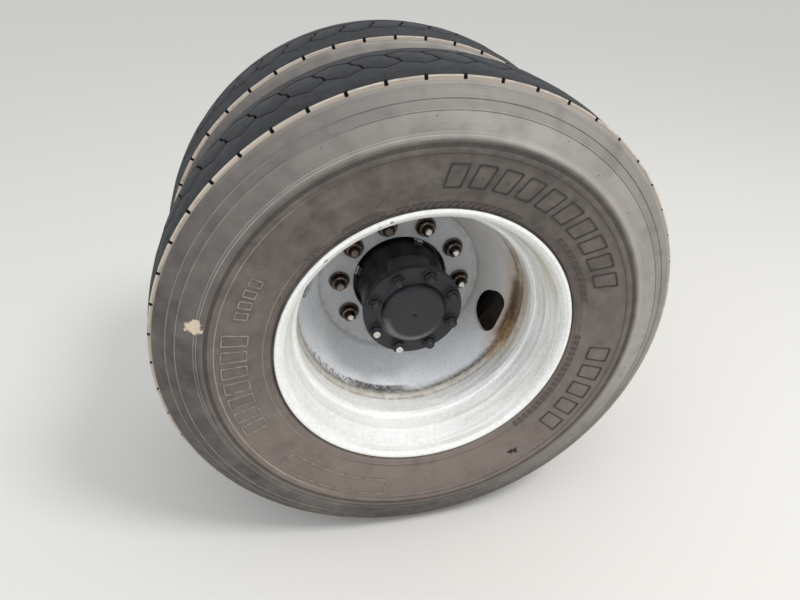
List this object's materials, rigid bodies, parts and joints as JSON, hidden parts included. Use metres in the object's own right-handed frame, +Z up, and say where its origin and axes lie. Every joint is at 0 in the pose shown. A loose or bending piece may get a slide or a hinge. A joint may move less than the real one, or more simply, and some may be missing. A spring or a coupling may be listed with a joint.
{
  "type": "twin rear wheel end of a street sweeper truck",
  "caption": "Twin truck wheels with radial tyres on a driven hub with drum, drive shaft and spindle, bolting to a rear axle housing.",
  "frame": {"origin": "centre of the inboard face of the spindle's bolt flange, on the axle line", "axes": "+Z up, +Y inboard along the axle line, +X towards the front of the truck"},
  "size_m": [1.046, 1.1545, 1.0456],
  "materials": {
    "tyre_rubber": "dusty worn rubber",
    "white_paint": "weathered white paint",
    "black_iron": "black painted casting",
    "rusty_iron": "bare casting with surface rust",
    "machined_steel": "machined",
    "rusty_steel": "rusted fasteners",
    "black_paint": "black painted plate",
    "valve_brass": "dull"
  },
  "bodies": {
    "axle_end": {"spindle": "black_iron", "spindle_nut": "machined_steel", "brake_spider": "black_iron", "dust_shield_upper": "black_paint", "dust_shield_lower": "black_paint"},
    "wheel": {"tyre_outer": "tyre_rubber", "tyre_inner": "tyre_rubber", "rim_outer": "white_paint", "rim_inner": "white_paint", "disc_outer": "white_paint", "disc_inner": "white_paint", "valve_outer": "valve_brass", "valve_inner": "valve_brass", "hub": "black_iron", "hub_bearing_outer": "machined_steel", "hub_bearing_inner": "machined_steel", "axle_shaft": "black_iron", "drive_studs": "rusty_steel", "drive_nuts": "rusty_steel", "wheel_studs": "rusty_steel", "wheel_nuts": "rusty_steel", "brake_drum": "rusty_iron"}
  },
  "joints": [
    {"name": "wheel_spin", "type": "hinge", "parent": "axle_end", "child": "wheel", "pos_m": [0, 0, 0], "axis": [0, -1, 0], "continuous": true}
  ]
}
